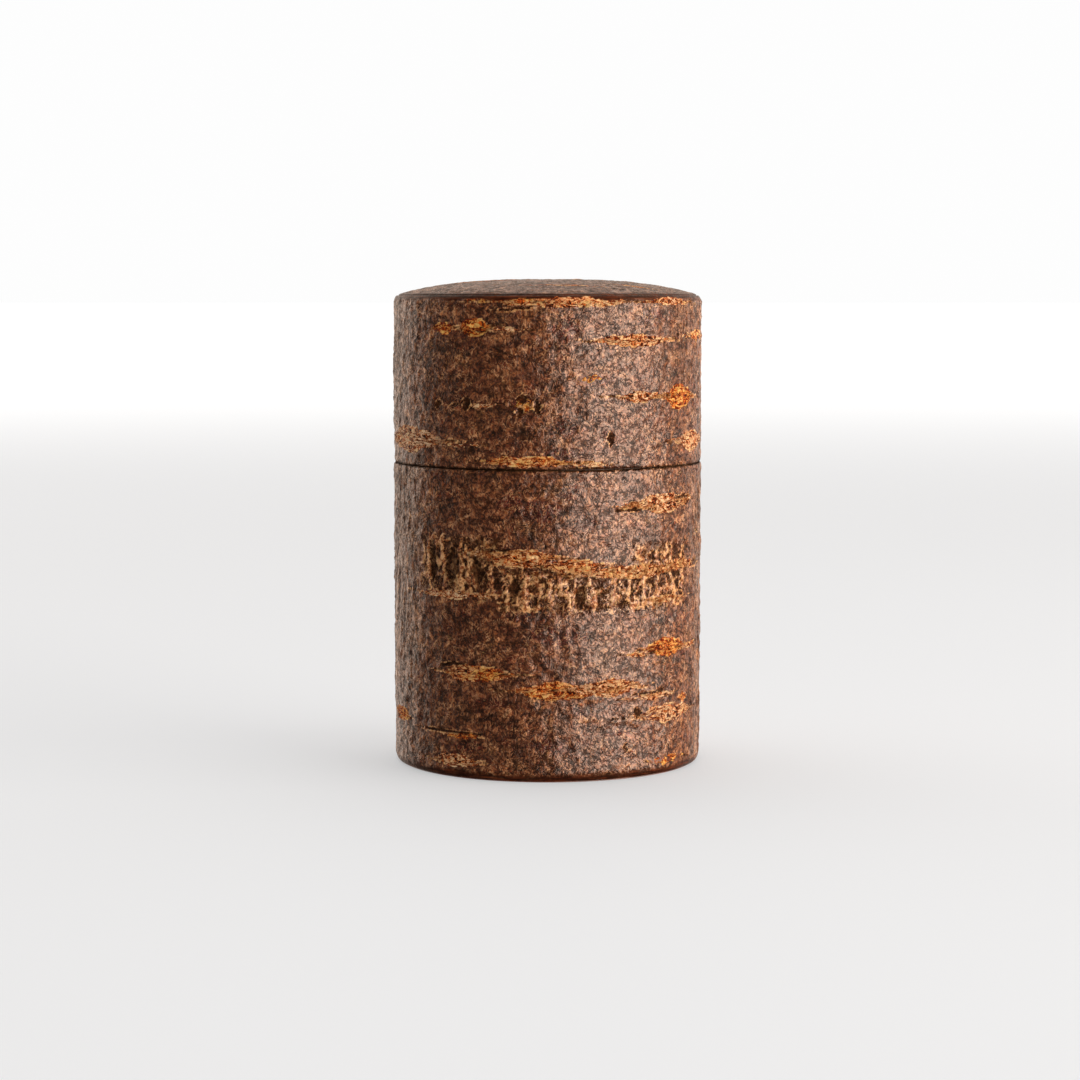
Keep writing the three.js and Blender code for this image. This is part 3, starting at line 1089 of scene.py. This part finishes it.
def inner_lid_knob():
    """The knob: tenon, foot, hollow waist, round edge and low crown."""
    node = "inner_lid_knob"
    low, crown = heights(node)
    edge = radii(node)[1]
    tenon = radii("inner_lid_face_bark")[0] - GLUE
    foot_low = heights("inner_lid_face_bark")[1] + GLUE
    foot, waist = edge * KNOB_FOOT, edge * KNOB_WAIST
    waist_height, middle = foot_low + KNOB_WAIST_UP, crown - KNOB_ROUND_DOWN
    foot_top = foot_low + KNOB_FOOT_EDGE

    def round_edge(degrees):
        """A point on the round edge, this far up from level."""
        angle = math.radians(degrees)
        return edge - KNOB_ROUND * (1 - math.cos(angle)), middle + KNOB_ROUND * math.sin(angle)

    outline = [(0, low), (tenon, low), (tenon, foot_low), (foot, foot_low), (foot, foot_top)]
    for share in np.linspace(0.1, 1, 10):
        fall = math.cos(share * math.pi / 2)
        outline.append((waist + (foot - waist) * fall**2, foot_top + (waist_height - foot_top) * share))
    neck, neck_height = round_edge(-80)
    for share in np.linspace(0.1, 1, 8):
        swell = 1 - math.cos(share * math.pi / 2)
        height = waist_height + (neck_height - waist_height) * math.sin(share * math.pi / 2)
        outline.append((waist + (neck - waist) * swell, height))
    outline += [round_edge(degrees) for degrees in range(-72, 59, 10)]
    shoulder, shoulder_height = outline[-1]
    for share in np.linspace(0.12, 1, 9):
        drop = (1 - share) ** 2
        outline.append((shoulder * (1 - share), crown + (shoulder_height - crown) * drop))
    return turned_piece(node, "cherry", outline, (0, 1, 2, 3, 4))


def make_pieces():
    rough_sleeve("body_rough_bark", BODY_SEED, BODY_MARKS, foot_round=FOOT_ROUND)
    rough_sleeve("lid_rough_bark", LID_SEED, LID_MARKS, rim_round=RIM_ROUND)
    dome_sheet("lid_top_bark")
    for ply in ("body_outer", "body_inner", "tube", "lid_outer", "lid_inner"):
        wrapped_sheet(ply + "_veneer", "veneer")
    for node in ("body_shell_lining", "lid_lining_bark"):
        wrapped_sheet(node, "smooth")
    for node in ("neck_bark", "well_lining_bark", "inner_lid_edge_bark"):
        wrapped_sheet(node, "smooth", round_top=True)
    for node in ("base", "well_floor", "inner_lid_face", "inner_lid_under", "lid_ceiling"):
        flat_disc(node + "_bark", "smooth")
    flat_disc("base_board", "board")
    top_board()
    inner_lid_board()
    inner_lid_knob()


# ---------- Stage, light and camera

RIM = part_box("lid_rough_bark")[1].z  # height of the lid's rim
CAMERA_PLACE = (-0.00184, -0.669, RIM)
CAMERA_LENS = 89.6  # focal length in mm, on a sensor 36 mm wide
CAMERA_TILT = 5.2  # down from level
FLOOR_REACH = 40
FLOOR_FADE = (0.5, 2.6)  # distances between which the floor fades into the surroundings
BACKDROP = 0.985  # how bright the plain surroundings look
WARM_WHITE = (1, 0.86, 0.74)  # the surroundings
WARM_LAMP = (1, 0.83, 0.68)  # the soft boxes
BRIGHTEST = (0, 0.75, 0.66)  # direction in which the surroundings are brightest
GLOW_RANGE = (-0.04, 0.75)  # from dim to bright, as cosines to that direction
GLOW = (0.07, 1.28)  # how strongly the surroundings light the caddy at those two
FLOOR_COLOUR = colour(172, 184, 198)  # makes up for the warm light
FLOOR_GLOW = 0.39  # keeps the shadow on the floor pale


def add_floor():
    """A plain pale floor that fades into the white surroundings away from the caddy.

    Glossy rays pass through it, so the bark's sheen shows the surroundings and not a white floor.
    """
    corners = [(x * FLOOR_REACH, y * FLOOR_REACH, 0) for x, y in ((-1, -1), (1, -1), (1, 1), (-1, 1))]
    mesh = bpy.data.meshes.new("floor")
    mesh.from_pydata(corners, [], [(0, 1, 2, 3)])
    floor = bpy.data.objects.new("floor", mesh)
    bpy.context.scene.collection.objects.link(floor)
    floor.visible_glossy = False
    floor.visible_shadow = False
    finish = Finish("floor")
    position = finish.node("TexCoord").outputs["Object"]
    away = finish.node("VectorMath", {0: position}, operation="LENGTH").outputs["Value"]
    far = finish.spread(away, *FLOOR_FADE)
    mesh.materials.append(
        finish.set(
            Base_Color=finish.mix(far, FLOOR_COLOUR, (0, 0, 0, 1)),
            Roughness=0.8,
            Specular_IOR_Level=0.1,
            Emission_Color=(1, 1, 1, 1),
            Emission_Strength=finish.total((far, BACKDROP - FLOOR_GLOW), (FLOOR_GLOW, 1.0)),
        )
    )


def add_soft_box(name, azimuth, distance, height, size, radiance, sheen_only=False):
    """A soft box that faces the caddy. Azimuth 0 is the front, and 90 the right-hand side."""
    lamp = bpy.data.lights.new(name, "AREA")
    lamp.shape = "RECTANGLE"
    lamp.size, lamp.size_y = size
    lamp.energy = radiance * math.pi * size[0] * size[1]
    lamp.color = WARM_LAMP
    light = bpy.data.objects.new(name, lamp)
    angle = math.radians(azimuth)
    light.location = (distance * math.sin(angle), -distance * math.cos(angle), height)
    tilt = math.atan2(height - RIM / 2, distance)
    light.rotation_euler = (math.pi / 2 - tilt, 0, angle)
    light.visible_diffuse = not sheen_only
    bpy.context.scene.collection.objects.link(light)


def add_surroundings():
    """White surroundings, plain to the camera, that light the caddy from above and behind."""
    world = bpy.data.worlds.new("studio")
    world.use_nodes = True
    bpy.context.scene.world = world
    studio = Nodes(world.node_tree)
    direction = studio.node("TexCoord").outputs["Generated"]
    towards = studio.node("VectorMath", {0: direction, 1: BRIGHTEST}, operation="DOT_PRODUCT")
    glow = studio.spread(towards.outputs["Value"], *GLOW_RANGE, *GLOW)
    seen = studio.node("LightPath").outputs["Is Camera Ray"]
    strength = studio.node("Mix", {0: seen, 2: glow, 3: BACKDROP}).outputs[0]
    shade = studio.mix(seen, (*WARM_WHITE, 1), (1, 1, 1, 1))
    background = studio.tree.nodes["Background"].inputs
    studio.feed(background["Strength"], strength)
    studio.feed(background["Color"], shade)


def add_camera():
    """In front of the caddy, level with the lid's rim and tilted a little down."""
    lens = bpy.data.cameras.new("camera")
    lens.lens = CAMERA_LENS
    lens.sensor_width = 36
    camera = bpy.data.objects.new("camera", lens)
    camera.location = CAMERA_PLACE
    camera.rotation_euler = (math.radians(90 - CAMERA_TILT), 0, 0)
    bpy.context.scene.collection.objects.link(camera)
    bpy.context.scene.camera = camera


add_camera()
make_pieces()
add_floor()
add_soft_box("key", azimuth=67, distance=1.2, height=0.15, size=(1.3, 1.1), radiance=5.6)
add_soft_box("sheen", azimuth=30, distance=1.2, height=0.1, size=(0.8, 1.1), radiance=4.4, sheen_only=True)
add_soft_box("rim", azimuth=-128, distance=1.0, height=0.2, size=(0.6, 0.9), radiance=0.6)
add_surroundings()
bpy.context.scene.view_settings.view_transform = "Standard"
